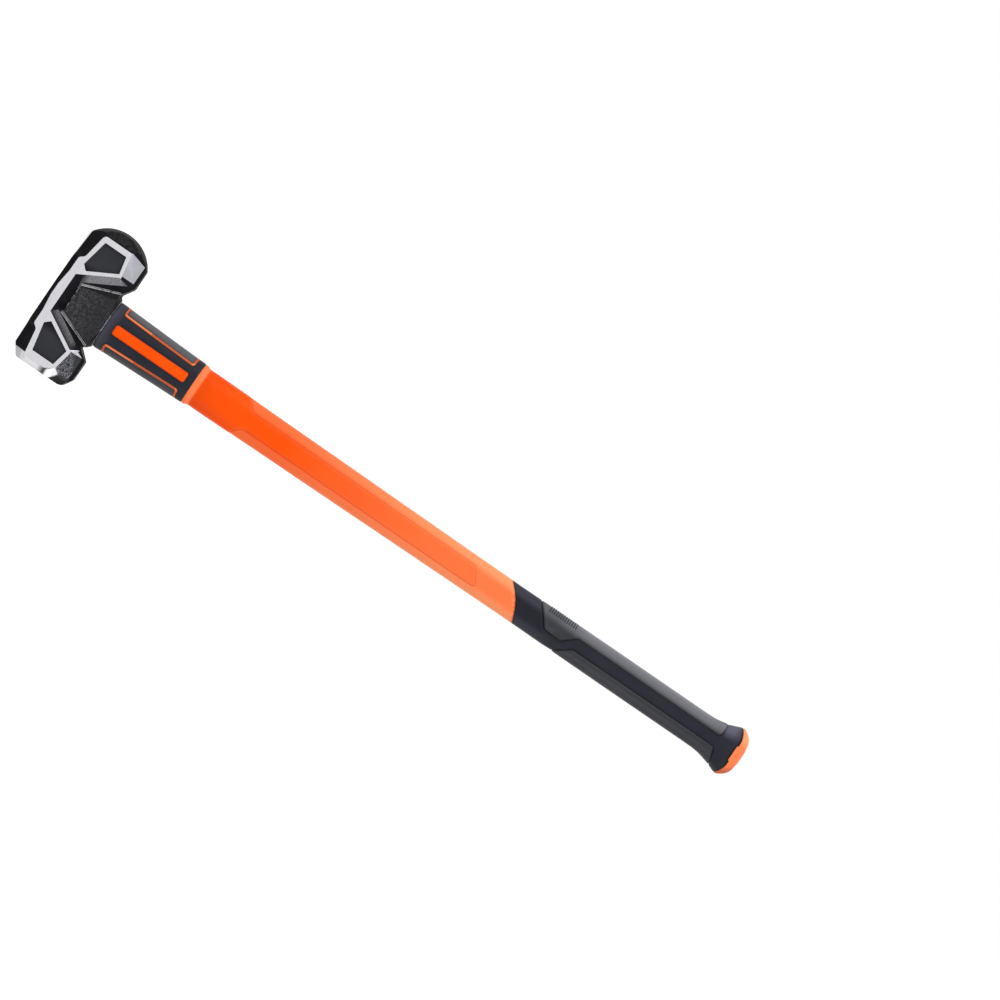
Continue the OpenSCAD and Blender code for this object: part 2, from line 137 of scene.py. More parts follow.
def speckle(tree, size, detail):
    """Noise with grains of a given size."""
    scale = maths(tree, "DIVIDE", 1.0, size)
    return add(tree, "ShaderNodeTexNoise", {"Vector": own_place(tree), "Scale": scale,
                                            "Detail": detail}).outputs["Fac"]


def along(tree, axis, low, high, *to):
    """A value that runs along one axis of the head, alike on both cheeks and both polls."""
    fold = add(tree, "ShaderNodeVectorMath", {0: own_place(tree)}, operation="ABSOLUTE")
    parts = add(tree, "ShaderNodeSeparateXYZ", {0: fold.outputs[0]})
    return ranged(tree, parts.outputs[axis], low * MM, high * MM, *to)


def slanted(tree, direction, low, high, *to):
    """A value that runs along a slanted direction of the head."""
    run = add(tree, "ShaderNodeVectorMath", {0: own_place(tree), 1: direction}, operation="DOT_PRODUCT")
    return ranged(tree, run.outputs["Value"], low * MM, high * MM, *to)


def bumped(tree, height, strength, distance):
    return add(tree, "ShaderNodeBump", {"Strength": strength, "Distance": distance,
                                        "Height": height}).outputs["Normal"]


# scale left by the furnace and the die: a broad mottle with fine pits in it
scale_group, scale_in, scale_out = new_group(
    "forge scale", [("Mottle size", 0.012), ("Pit size", 0.0012)], ["Mottle", "Height"])
scale_mottle = speckle(scale_group, scale_in["Mottle size"], 4.0)
scale_pits = speckle(scale_group, scale_in["Pit size"], 3.0)
feed(scale_group, scale_out, {
    "Mottle": scale_mottle, "Height": maths(scale_group, "MULTIPLY_ADD", scale_pits, 0.45, scale_mottle)})

# scratches left by a belt: fine noise drawn out along the head
belt_group, belt_in, belt_out = new_group("belt marks", [("Across", 2600.0), ("Along", 60.0)], ["Marks"])
belt_scale = add(belt_group, "ShaderNodeCombineXYZ", {
    "X": belt_in["Along"], "Y": belt_in["Across"], "Z": belt_in["Across"]})
belt_stretch = add(belt_group, "ShaderNodeVectorMath", {0: own_place(belt_group), 1: belt_scale.outputs[0]},
                   operation="MULTIPLY")
belt_noise = add(belt_group, "ShaderNodeTexNoise", {
    "Vector": belt_stretch.outputs[0], "Scale": 1.0, "Detail": 2.0})
feed(belt_group, belt_out, {"Marks": belt_noise.outputs["Fac"]})


def forge_scale(tree, mottle, pit):
    return use_group(tree, scale_group, Mottle_size=mottle, Pit_size=pit)


def forged_black(name, dark, light, roughness, specular, depth, mottle=0.012, pit=0.0012):
    material, tree, shader = new_material(name)
    scale = forge_scale(tree, mottle, pit)
    spread = ranged(tree, scale["Mottle"], 0.35, 0.68)
    feed(tree, shader, {
        "Base Color": mixed(tree, spread, dark, light),
        "Roughness": ranged(tree, spread, 0.0, 1.0, roughness + 0.08, roughness - 0.06),
        "Specular IOR Level": specular, "Normal": bumped(tree, scale["Height"], 0.6, depth)})
    return material


def ground_steel(name, dull, bright, roughness, marks_along, marks_across):
    material, tree, shader = new_material(name)
    belt = use_group(tree, belt_group, Along=marks_along, Across=marks_across)
    cloud = forge_scale(tree, 0.02, 0.003)
    marks = ranged(tree, belt["Marks"], 0.3, 0.7)
    feed(tree, shader, {
        "Base Color": mixed(tree, marks, dull, bright), "Metallic": 1.0,
        "Roughness": ranged(tree, cloud["Mottle"], 0.3, 0.7, roughness - 0.05, roughness + 0.07),
        "Normal": bumped(tree, belt["Marks"], 0.12, 0.0001)})
    return material


forged = forged_black("forged black steel", (0.003, 0.0028, 0.0042), (0.008, 0.0075, 0.01),
                      0.5, 0.06, 0.0004)
polished = ground_steel("polished steel", (0.53, 0.53, 0.56), (0.63, 0.63, 0.66), 0.28, 60.0, 2600.0)
ground = ground_steel("ground facet", (0.335, 0.335, 0.37), (0.415, 0.415, 0.46), 0.34, 90.0, 1500.0)
crowned = forged_black("crowned face", (0.003, 0.003, 0.0035), (0.022, 0.022, 0.024),
                       0.5, 0.08, 0.0005, 0.0045, 0.0012)


def flat_face_ring():
    """The ring round the flat face: a painted dark reflection across it at mid height, a painted highlight
    below, then black scale with a painted sheen that fades away from the bright steel.
    """
    material, tree, shader = new_material("ring of the flat face")
    belt = use_group(tree, belt_group, Along=200.0, Across=1800.0)
    marks = ranged(tree, belt["Marks"], 0.3, 0.7)
    side = along(tree, "Y", 18.0, 20.0)
    # painted reflection: a dark band across the ring's sides at mid height, and below it a dark line along
    # the rim
    painted_dark_band = times(tree, along(tree, "Z", 36.0, 43.0), along(tree, "Z", 48.0, 44.5))
    rim = slanted(tree, (0.872, 0.0, 0.49), 89.2, 88.2)
    line = times(tree, times(tree, rim, along(tree, "Z", 42.0, 44.0)), along(tree, "Z", 51.0, 48.0))
    lip = along(tree, "Y", 20.6, 20.1, 0.0, 0.5)
    # painted highlight: near-white steel at the ring's foot
    foot = times(tree, along(tree, "Z", 44.5, 47.0), side)
    scale = slanted(tree, (0.63, 0.0, 0.77), 91.6, 93.4)
    # the black scale next to the bright steel is lighter, a painted sheen that fades further out
    painted_sheen_fade = slanted(tree, (0.63, 0.0, 0.77), 93.0, 103.0)
    clean = mixed(tree, marks, (0.5, 0.5, 0.52), (0.6, 0.6, 0.62))
    bright = mixed(tree, foot, clean, (0.9, 0.9, 0.91))
    lipped = mixed(tree, lip, bright, (0.3, 0.3, 0.31))
    dark = larger(tree, times(tree, painted_dark_band, side), line)
    painted_reflections = mixed(tree, dark, lipped, (0.05, 0.05, 0.051))
    black = mixed(tree, painted_sheen_fade, (0.018, 0.018, 0.019), (0.005, 0.005, 0.0055))
    worn = ranged(tree, marks, 0.0, 1.0, 0.3, 0.24)
    feed(tree, shader, {
        "Base Color": mixed(tree, scale, painted_reflections, black),
        "Metallic": ranged(tree, scale, 0.0, 1.0, 1.0, 0.0),
        "Roughness": maths(tree, "MULTIPLY_ADD", scale, 0.25, worn),
        "Specular IOR Level": 0.15, "Normal": bumped(tree, belt["Marks"], 0.1, 0.0001)})
    return material


def neck_plate():
    """The neck plate's grain: coarse pale grit, rubbed away towards the collar, and near black along its
    edge on the crown side.
    """
    material, tree, shader = new_material("grained neck plate")
    scale = forge_scale(tree, 0.0021, 0.0007)
    grit = ranged(tree, scale["Mottle"], 0.44, 0.66)
    mask = times(tree, grit, along(tree, "Z", 60.0, 40.0, 0.4, 1.0))
    crown_edge_dark = slanted(tree, (-0.972, 0.0, -0.2375), 9.4, 11.4)
    grain = mixed(tree, mask, (0.016, 0.016, 0.018), (0.06, 0.06, 0.064))
    feed(tree, shader, {
        "Base Color": mixed(tree, crown_edge_dark, grain, (0.004, 0.004, 0.005)),
        "Roughness": ranged(tree, grit, 0.0, 1.0, 0.6, 0.45),
        "Specular IOR Level": 0.15, "Normal": bumped(tree, scale["Height"], 0.5, 0.0003)})
    return material


# a broken line of bare steel along edges, which paints their highlights
edge_glint_group, edge_glint_in, edge_glint_out = new_group(
    "broken edge glint", [("Patch size", 0.003), ("Share", 0.5)], ["Bare"])
edge_glint_noise = speckle(edge_glint_group, edge_glint_in["Patch size"], 2.0)
edge_glint_gap = maths(edge_glint_group, "SUBTRACT", edge_glint_noise, edge_glint_in["Share"])
edge_glint_step = maths(edge_glint_group, "MULTIPLY_ADD", edge_glint_gap, 7.0, 0.5, clamp=True)
feed(edge_glint_group, edge_glint_out, {"Bare": edge_glint_step})


def bare_or_black_steel(tree, shader, mask):
    scale = forge_scale(tree, 0.004, 0.0009)
    feed(tree, shader, {
        "Base Color": mixed(tree, mask, (0.006, 0.006, 0.0075), (0.62, 0.62, 0.64)), "Metallic": mask,
        "Roughness": ranged(tree, scale["Mottle"], 0.3, 0.7, 0.32, 0.46),
        "Specular IOR Level": 0.15, "Normal": bumped(tree, scale["Height"], 0.3, 0.0002)})


def neck_edge_glint():
    """Edges of the neck, with a painted highlight of bare steel in a broken line."""
    material, tree, shader = new_material("neck edge glint")
    patches = use_group(tree, edge_glint_group, Patch_size=0.004, Share=0.42)
    bare_or_black_steel(tree, shader, patches["Bare"])
    return material


def plate_bevel():
    """The bevel round the neck plate: painted highlights of bare steel in broken lines along its two edges,
    and all over at the upper corners.
    """
    material, tree, shader = new_material("bevel round the neck plate")
    upper = along(tree, "Y", 21.2, 21.45)
    lower = along(tree, "Y", 20.9, 20.65)
    side = along(tree, "X", 14.0, 16.0)
    corner = times(tree, along(tree, "Z", 46.0, 40.0), side)
    patches = use_group(tree, edge_glint_group, Patch_size=0.006, Share=0.46)
    lines = times(tree, larger(tree, upper, times(tree, lower, side)), patches["Bare"])
    bare_or_black_steel(tree, shader, larger(tree, lines, corner))
    return material


def slanted_wall():
    """The slanted walls: painted shade on the flat face's side, dark by the band and black towards the lower
    end; on the crown side, black at their top.
    """
    material, tree, shader = new_material("slanted wall with painted shade")
    # painted shade on the flat face's side: dark by the band, and black towards the lower end
    flat = times(tree, along(tree, "Y", 23.7, 21.0, 0.12, 1.0), along(tree, "Z", 58.0, 51.0, 0.0, 0.45))
    crown = along(tree, "Z", 22.0, 30.0)
    x = add(tree, "ShaderNodeSeparateXYZ", {0: own_place(tree)}).outputs["X"]
    pick = add(tree, "ShaderNodeMix", {
        0: maths(tree, "GREATER_THAN", x, 0.0), 2: crown, 3: flat}, data_type="FLOAT")
    belt = use_group(tree, belt_group, Along=140.0, Across=1500.0)
    marks = ranged(tree, belt["Marks"], 0.3, 0.7)
    bright = mixed(tree, marks, (0.075, 0.075, 0.083), (0.135, 0.135, 0.146))
    feed(tree, shader, {
        "Base Color": mixed(tree, pick.outputs[0], (0.006, 0.006, 0.007), bright), "Metallic": 1.0,
        "Roughness": ranged(tree, marks, 0.0, 1.0, 0.5, 0.36),
        "Specular IOR Level": 0.1, "Normal": bumped(tree, belt["Marks"], 0.15, 0.0001)})
    return material


def pocket_floor():
    """The pocket floors: painted shade leaves them dark at the nose by the eye, and they are paler away from
    it.
    """
    material, tree, shader = new_material("smooth pocket floor")
    mask = times(tree, along(tree, "X", 36.5, 43.0), along(tree, "X", 44.0, 70.0, 1.0, 0.75))
    scale = forge_scale(tree, 0.009, 0.001)
    feed(tree, shader, {
        "Base Color": mixed(tree, mask, (0.0025, 0.0025, 0.0035), (0.025, 0.026, 0.031)),
        "Roughness": ranged(tree, scale["Mottle"], 0.3, 0.7, 0.5, 0.62),
        "Specular IOR Level": 0.2, "Normal": bumped(tree, scale["Height"], 0.35, 0.0002)})
    return material


def pebbled_facet():
    """The other lower facet keeps a worm-like skin, which fades towards its foot and outer corner."""
    material, tree, shader = new_material("pebbled facet")
    worms = add(tree, "ShaderNodeTexWave", {
        "Vector": own_place(tree), "Scale": 120.0, "Distortion": 14.0, "Detail": 1.0, "Detail Scale": 2.0},
        wave_type="BANDS", bands_direction="DIAGONAL")
    height = ranged(tree, worms.outputs["Fac"], 0.35, 0.8)
    mask = height
    for slope, clear, full in (((-0.4, 0.0, 1.0), 45.5, 42.0), ((1.0, 0.0, 0.36), 98.5, 95.5)):
        mask = times(tree, mask, slanted(tree, slope, clear, full, 0.1, 1.0))
    feed(tree, shader, {
        "Base Color": mixed(tree, mask, (0.009, 0.009, 0.013), (0.175, 0.18, 0.215)),
        "Roughness": ranged(tree, height, 0.0, 1.0, 0.6, 0.4),
        "Specular IOR Level": 0.3, "Normal": bumped(tree, height, 0.7, 0.0005)})
    return material


def beyond(line, x, z):
    """How far a point lies past a line on the cheek's view, to the left of its direction."""
    (x1, z1), (x2, z2) = line
    return ((x2 - x1) * (z - z1) - (z2 - z1) * (x - x1)) / math.hypot(x2 - x1, z2 - z1)


def sides_of(corners):
    return list(zip(corners, corners[1:] + corners[:1]))


def head_finish(centre, normal):
    """The finish of one face of the head, from its place and the way it faces."""
    x, y, z = (v / MM for v in centre)
    depth, lean = abs(y), abs(normal.y)
    inward = normal.x * math.copysign(1, x)
    low_facet = normal.z > 0.4 and lean > 0.6 and z > 45
    if x > RING_X or low_facet and x > 60 and beyond(PEBBLE_END, x, z) < 0:
        return RING
    if x > TOP_RING_X and z < 30 and normal.z < -0.3 and lean < 0.95:
        return RING
    if x < CROWN_X and lean < 0.9 and normal.x < -0.4:
        return CROWN
    if lean > 0.99 and depth > CHEEK_Y - 0.5:
        return POLISHED
    if lean > 0.99 and abs(depth - POCKET_Y) < 0.3:
        return POCKET
    if lean > 0.99 and abs(depth - PLATE_Y) < 0.3 and z > 20:
        return PLATE
    if FLOOR_Y < depth < CHEEK_Y and 0.5 < lean < 0.99 and 14 < z < NECK_Z and abs(x) < 51.5:
        if inward < -0.2:
            return FACET if x > 0 and normal.z < 0.1 else WALL
        if depth < PLATE_Y and 25 < z < 67 and (inward > 0.2 or z < 29):
            return RIDGE
    for corners, finish in ((GLINT, POLISHED), (WALL_END, WALL)):
        if low_facet and all(beyond(side, x, z) < 0.01 for side in sides_of(corners)):
            return finish
    if low_facet and z < FACET_FOOT_Z:
        if x > PEBBLE_IN_X:
            return PEBBLED
        if x < FACET_IN_X and beyond(FACET_END, x, z) < 0:
            return FACET
    return FORGED


def cut_faces(mesh, faces, point, out, reach, clear=False):
    """Cuts faces along a plane square to the cheek's view, and returns the edges on it."""
    parts = set(faces) | {e for f in faces for e in f.edges} | {v for f in faces for v in f.verts}
    cut = bmesh.ops.bisect_plane(
        mesh, geom=list(parts), dist=reach, plane_co=(point[0] * MM, 0, point[1] * MM),
        plane_no=(out[0], 0, out[1]), clear_outer=clear)
    return [e for e in cut["geom_cut"] if isinstance(e, bmesh.types.BMEdge)]


def round_corner(mesh, before, corner, after, radius, steps=5):
    """Planes away a corner of the head's side view, given with the points on both sides of it."""
    corner = Vector(corner)
    u, v = (Vector(before) - corner).normalized(), (Vector(after) - corner).normalized()
    half = u.angle(v) / 2
    middle = corner + (u + v).normalized() * (radius / math.sin(half))
    square = Vector((u.y, -u.x)), Vector((v.y, -v.x))
    first, last = (out if out.dot(other) < 0 else -out for out, other in zip(square, (v, u)))
    side = math.copysign(1, corner.x)
    for i in range(1, steps + 1):
        out = first.slerp(last, i / (steps + 1))
        poll = [f for f in mesh.faces if all(v.co.x * side > POLL_X * MM for v in f.verts)]
        rim = cut_faces(mesh, poll, middle + out * radius, out, 0.000002, True)
        bmesh.ops.holes_fill(mesh, edges=rim)


def split_faces(mesh, line, chosen):
    """Splits some faces of the head along a line on the cheek's view."""
    (x1, z1), (x2, z2) = line
    cut_faces(mesh, [f for f in mesh.faces if chosen(f)], (x1, z1), (z1 - z2, x2 - x1), 0.00001)


def upright(x):
    return (x, 0), (x, 80)


def middle_x(face):
    return face.calc_center_median().x / MM


def near(value, target, reach):
    return abs(value - target * MM) < reach * MM


def softened(mesh, radius, steps, chosen, finish=-1):
    """Rounds the edges that pass a test."""
    edges = [e for e in mesh.edges if len(e.link_faces) == 2 and chosen(e)]
    bmesh.ops.bevel(mesh, geom=edges, offset=radius * MM, segments=steps, profile=0.5, affect="EDGES",
                    clamp_overlap=False, material=finish)


def refilled(mesh, side, reach):
    """Fills one cheek's flat faces anew from their outline and the outlines of their holes."""
    old = [f for f in mesh.faces if f.normal.y * side > 0.999
           and near(f.calc_center_median().y * side, CHEEK_Y, reach)]
    kept = set(old)
    rim = [e for e in mesh.edges if sum(f in kept for f in e.link_faces) == 1]
    corners = list(dict.fromkeys(v for e in rim for v in e.verts))
    number = {v: i for i, v in enumerate(corners)}
    bmesh.ops.delete(mesh, geom=old, context="FACES_KEEP_BOUNDARY")
    ends = np.array([[(v.co.x, v.co.z) for v in e.verts] for e in rim])
    (x1, z1), (x2, z2) = ends[:, 0].T, ends[:, 1].T
    flat, _, triangles, sources, *_ = delaunay_2d_cdt(
        [Vector((v.co.x, v.co.z)) for v in corners],
        [[number[v] for v in e.verts] for e in rim], [], 0, 1e-7)
    points = [corners[s[0]] if s else mesh.verts.new((p.x, side * CHEEK_Y * MM, p.y))
              for p, s in zip(flat, sources)]
    for triangle in triangles:
        x, z = sum((flat[i] for i in triangle), Vector((0, 0))) / 3
        crossed = (z1 > z) != (z2 > z)
        past = x < x1 + (x2 - x1) * (z - z1) / np.where(z2 == z1, 1, z2 - z1)
        if np.count_nonzero(crossed & past) % 2:
            face = mesh.faces.new([points[i] for i in (triangle if side < 0 else triangle[::-1])])
            face.material_index = POLISHED


head_mesh = bmesh.new()
head_mesh.from_mesh(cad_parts["head"].data)
bmesh.ops.remove_doubles(head_mesh, verts=head_mesh.verts, dist=0.00002)
bmesh.ops.dissolve_limit(head_mesh, angle_limit=math.radians(0.6), verts=head_mesh.verts,
                         edges=head_mesh.edges)
head_mesh.normal_update()
# the top chamfers run softly into the faces' bevels and across their step, as they leave the die
softened(head_mesh, 3.2, 5, lambda e: any(near(abs(v.co.y), CHEEK_Y, 0.05) for v in e.verts)
         and all(abs(v.co.x) > 0.0768 and v.co.z < 0.035 for v in e.verts)
         and all(abs(f.normal.y) < 0.99 and f.normal.z < 0.3 for f in e.link_faces)
         and e.calc_face_angle(0) > 0.3)
softened(head_mesh, 2.0, 4, lambda e: any(near(abs(v.co.y), CHEEK_Y, 0.05) for v in e.verts)
         and all(0.042 < abs(v.co.x) < 0.0475 and v.co.z < 0.0135 for v in e.verts)
         and all(abs(f.normal.y) < 0.99 for f in e.link_faces))
for side in (-1, 1):
    refilled(head_mesh, side, 0.05)
for line, test in (
        (upright(RING_X), lambda f: middle_x(f) > 30),
        (upright(TOP_RING_X), lambda f: middle_x(f) > 30 and f.normal.z < -0.3 and abs(f.normal.y) < 0.95),
        (upright(CROWN_X), lambda f: middle_x(f) < -30),
        (upright(PEBBLE_IN_X), lambda f: middle_x(f) > 30 and f.normal.z > 0.3),
        (upright(FACET_IN_X), lambda f: middle_x(f) < -30 and f.normal.z > 0.3),
        (((-90, FACET_FOOT_Z), (90, FACET_FOOT_Z)), lambda f: f.normal.z > 0.3 and abs(f.normal.y) > 0.3),
        (PEBBLE_END, lambda f: middle_x(f) > 50 and 0.4 < f.normal.z < 0.9),
        (FACET_END, lambda f: middle_x(f) < -50 and 0.4 < f.normal.z < 0.9)):
    split_faces(head_mesh, line, test)
for corners in (GLINT, WALL_END):
    for line in sides_of(corners):
        split_faces(head_mesh, line, lambda f: f.normal.z > 0.4 and abs(f.normal.y) > 0.6
                    and 36 < middle_x(f) * math.copysign(1, corners[0][0]) < 62)
head_mesh.normal_update()
for face in head_mesh.faces:
    face.material_index = head_finish(face.calc_center_median(), face.normal)
# the neck's lower edges get a painted highlight of bare steel in a broken line
softened(head_mesh, 0.5, 2, lambda e: e.calc_face_angle(0) > 0.5
         and all(near(v.co.z, NECK_Z, 0.02) and v.co.xy.length > 0.021 for v in e.verts), EDGE_GLINT)
softened(head_mesh, EDGE, 2, lambda e: e.calc_face_angle(0) > math.radians(24)
         and e.calc_length() > 4 * EDGE * MM
         and not all(abs(v.co.x) < 0.0348 and v.co.z > 0.062 for v in e.verts))
head_mesh.normal_update()
for side in (-1, 1):
    refilled(head_mesh, side, 0.003)
split_faces(head_mesh, RING_CORNER, lambda f: f.material_index == POLISHED and abs(f.normal.y) > 0.999
            and middle_x(f) > 55)
known = head_mesh.faces.layers.int.new("known")
for face in head_mesh.faces:
    face[known] = 1
    x, _, z = face.calc_center_median() / MM
    if face.material_index == POLISHED and x > 60 and z > 40 and beyond(RING_CORNER, x, z) > 0:
        face.material_index = RING
for before, corner, after, radius in (
        ((70.5, 0.5), (83.5, 10), (83.5, 40), 4.0), ((83.5, 40), (83.5, 66.8), (70.5, 75), 7.0),
        ((83.5, 66.8), (70.5, 75), (47, 75), 9.0), ((60, 75), (47, 75), (36, 62), 4.0),
        ((36, 0), (70.5, 0.5), (83.5, 10), 5.0), ((-36, 0), (-75.5, 1.9), (-82, 8.56), 4.0),
        ((-60, 75), (-47, 75), (-34.5, 66.5), 4.0)):
    round_corner(head_mesh, before, corner, after, radius)
head_mesh.normal_update()
for face in head_mesh.faces:
    if not face[known]:
        face.material_index = head_finish(face.calc_center_median(), face.normal)
head_mesh.faces.layers.int.remove(known)


def placed(name, data):
    thing = bpy.data.objects.new(name, data)
    bpy.context.scene.collection.objects.link(thing)
    return thing


def finished(name, mesh, materials, sharp_deg):
    data = bpy.data.meshes.new(name)
    mesh.to_mesh(data)
    mesh.free()
    if "custom_normal" in data.attributes:
        data.attributes.remove(data.attributes["custom_normal"])
    for material in materials:
        data.materials.append(material)
    data.polygons.foreach_set("use_smooth", [True] * len(data.polygons))
    data.set_sharp_from_angle(angle=math.radians(sharp_deg))
    return placed(name, data)


head_materials = [forged, polished, flat_face_ring(), ground, slanted_wall(), pocket_floor(), neck_plate(),
                  plate_bevel(), pebbled_facet(), crowned, neck_edge_glint()]
head = finished("hammer_head", head_mesh, head_materials, 33.0)
# broad faces stay flat in shading up to their rims, and only the narrow roundings between them turn
level = {}
for face in head.data.polygons:
    for key in face.edge_keys:
        level[key] = level.get(key, 0) + (abs(face.normal.y) > 0.999)
for edge in head.data.edges:
    edge.use_edge_sharp = edge.use_edge_sharp or level[edge.key] == 1
flatten = head.modifiers.new("flat faces", "WEIGHTED_NORMAL")
flatten.weight = 100
flatten.keep_sharp = True
shaded = bpy.data.meshes.new_from_object(head.evaluated_get(bpy.context.evaluated_depsgraph_get()))
head.modifiers.clear()
head.data = shaded
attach(head, "root")
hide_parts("head")

# Core, epoxy and dam.
# A pultruded glass-fibre rod runs from the head's top to the butt. Cast epoxy locks it in the eye, and
# a soft ring at the foot of the eye kept the liquid epoxy in.


def glass_fibre():
    """Long rovings of glass, seen through the resin."""
    material, tree, shader = new_material("pultruded glass fibre")
    stretch = add(tree, "ShaderNodeMapping", {"Vector": own_place(tree), "Scale": (1800.0, 1800.0, 25.0)})
    noise = add(tree, "ShaderNodeTexNoise", {"Vector": stretch.outputs[0], "Scale": 1.0})
    rovings = ranged(tree, noise.outputs["Fac"], 0.35, 0.65)
    feed(tree, shader, {
        "Base Color": mixed(tree, rovings, (0.42, 0.36, 0.18), (0.68, 0.62, 0.38)),
        "Roughness": ranged(tree, rovings, 0.0, 1.0, 0.55, 0.4),
        "Normal": bumped(tree, rovings, 0.2, 0.0001)})
    return material


def cast_epoxy():
    """Clouded amber epoxy."""
    material, tree, shader = new_material("cast epoxy")
    cloud = forge_scale(tree, 0.006, 0.001)
    mask = ranged(tree, cloud["Mottle"], 0.35, 0.65)
    feed(tree, shader, {
        "Base Color": mixed(tree, mask, (0.12, 0.09, 0.035), (0.2, 0.15, 0.06)),
        "Roughness": ranged(tree, mask, 0.0, 1.0, 0.22, 0.36),
        "Normal": bumped(tree, cloud["Height"], 0.2, 0.0002)})
    return material


# skin of a moulded piece: a fine even grain, and a broad change in gloss
skin_group, skin_in, skin_out = new_group(
    "moulded skin", [("Grain size", 0.0009), ("Cloud size", 0.03)], ["Grain", "Cloud"])
feed(skin_group, skin_out, {"Grain": speckle(skin_group, skin_in["Grain size"], 1.0),
                            "Cloud": speckle(skin_group, skin_in["Cloud size"], 3.0)})


def moulded(name, low, high, pale, line, roughness, specular, grain, depth, strength=0.35):
    """A moulded skin; the mesh says where it is paler, mostly painted sheen and highlights, and where it is
    darker, along parting lines and joints and in painted shade.
    """
    material, tree, shader = new_material(name)
    skin = use_group(tree, skin_group, Grain_size=grain, Cloud_size=0.03)
    cloud = ranged(tree, skin["Cloud"], 0.32, 0.68)
    tone = add(tree, "ShaderNodeAttribute", attribute_name="tone")
    parts = add(tree, "ShaderNodeSeparateXYZ", {0: tone.outputs["Vector"]}).outputs
    toned = mixed(tree, parts["X"], mixed(tree, cloud, low, high), pale)
    feed(tree, shader, {
        "Base Color": mixed(tree, parts["Y"], toned, line),
        "Roughness": ranged(tree, skin["Grain"], 0.3, 0.7, roughness + 0.06, roughness - 0.04),
        "Specular IOR Level": specular, "Normal": bumped(tree, skin["Grain"], strength, depth)})
    return material


soft_black = moulded("soft black over-moulding", (0.0115, 0.0125, 0.0205), (0.017, 0.018, 0.027),
                     (0.1, 0.102, 0.14), (0.003, 0.003, 0.004), 0.52, 0.14, 0.0007, 0.0001)
for node, material in (("core_rod", glass_fibre()), ("eye_resin", cast_epoxy()), ("resin_dam", soft_black)):
    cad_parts[node].data.materials.clear()
    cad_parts[node].data.materials.append(material)

# Handle jacket.
# Orange polypropylene moulded over the core, satin from the tool. It has a lip under the collar, a
# raised tongue along each broad side, and ribs that come up through the collar.

FLAT = 6.0
ARC = 14.0
SEAM = FLAT + ARC * math.pi / 2
COLLAR_LOW = 71.0
COLLAR_HIGH = 184.0
LIP_END = 192.0
BUTT = 898.0
SKIN = 2.5
# half the handle's width at some heights: the collar, its lip, the shaft, the grip, the flare and the cap
PROFILE = [(COLLAR_LOW, 28.4), (78, 28.1), (90, 27.5), (126, 26.3), (150, 25.5), (174, 24.9),
           (COLLAR_HIGH, 24.7), (185.6, 24.8), (187, 24.5), (188, 23.8), (189.3, 23.1), (191, 22.7),
           (194, 22.5), (240, 22.2), (280, 21.8), (360, 21.2), (440, 20.5), (520, 19.9),
           (600, 19.4), (640, 19.6), (720, 19.8), (836, 19.7), (846, 19.8), (852, 20.2), (857, 20.9),
           (861, 21.8), (865, 22.8), (869, 23.9), (873, 25.3), (877, 27.0), (880, 28.1), (882.4, 28.7),
           (884, 28.7), (885.5, 28.2), (888, 26.7), (890, 25.3), (892.5, 23.0), (894.5, 20.5), (896, 17.5),
           (897.2, 13.8), (897.6, 11.0), (897.9, 7.5), (BUTT, 6.0)]


def half_width(z):
    return np.interp(z, [p[0] for p in PROFILE], [p[1] for p in PROFILE])


def skin_q(x, z):
    """How far round the skin a point lies from the middle of the broad side."""
    bend = np.arcsin(np.clip((np.abs(x) - FLAT) / (half_width(z) - FLAT), 0, 1))
    return np.sign(x) * np.where(np.abs(x) <= FLAT, np.abs(x), FLAT + ARC * bend)


def skin_points(q, z, lift):
    """Points on the front of the handle, lifted off its plain skin."""
    out = np.maximum(half_width(z) - FLAT + lift, 0)
    bend = np.clip((np.abs(q) - FLAT) / ARC, 0, math.pi / 2)
    x = np.sign(q) * (np.minimum(np.abs(q), FLAT) + out * np.sin(bend))
    return np.stack([x, -out * np.cos(bend), z], axis=1) * MM


def rounded(points, radius, closed=False):
    """The points of a path with its corners rounded; an open path keeps its two ends."""
    path, n = [], len(points)
    for i, p in enumerate(points):
        p = np.array(p, float)
        if not closed and i in (0, n - 1):
            path.append(p)
            continue
        before, after = np.array(points[i - 1], float) - p, np.array(points[(i + 1) % n], float) - p
        u, v = before / np.linalg.norm(before), after / np.linalg.norm(after)
        half = math.acos(np.clip(u @ v, -1, 1)) / 2
        reach = min(radius / math.tan(half), 0.48 * np.linalg.norm(before), 0.48 * np.linalg.norm(after))
        for t in np.linspace(0, 1, 7):
            path.append(p + u * reach * (1 - t) ** 2 + v * reach * t ** 2)
    return path


def moved_in(points, by):
    """An open path with each of its edges moved to its left."""
    p = np.array(points, float)
    run = np.diff(p, axis=0)
    run /= np.linalg.norm(run, axis=1)[:, None]
    left = np.stack([-run[:, 1], run[:, 0]], axis=1)
    moved = [p[0] + by * left[0]]
    for i in range(1, len(p) - 1):
        moved.append(p[i] + by * (left[i - 1] + left[i]) / (1 + left[i - 1] @ left[i]))
    return moved + [p[-1] + by * left[-1]]


def on_skin(points, closed=False, step=1.2):
    """A path across the handle as points [round the skin, height], close together."""
    p = np.array(list(points) + ([points[0]] if closed else []), float)
    fine = [p[:1]]
    for a, b in zip(p[:-1], p[1:]):
        count = max(int(np.linalg.norm(b - a) / step) + 1, 1)
        fine.append(a + (b - a) * np.linspace(0, 1, count + 1)[1:, None])
    fine = np.concatenate(fine)
    q = skin_q(fine[:, 0], fine[:, 1])
    if not closed:
        q[0], q[-1] = math.copysign(SEAM, fine[0, 0]), math.copysign(SEAM, fine[-1, 0])
    line = np.stack([q, fine[:, 1]], axis=1)
    keep = np.ones(len(line), bool)
    if not closed:
        front = np.flatnonzero(np.abs(q) < SEAM - 1e-6)
        keep[:front[0] - 1] = False
        keep[front[-1] + 2:] = False
    return line[keep]


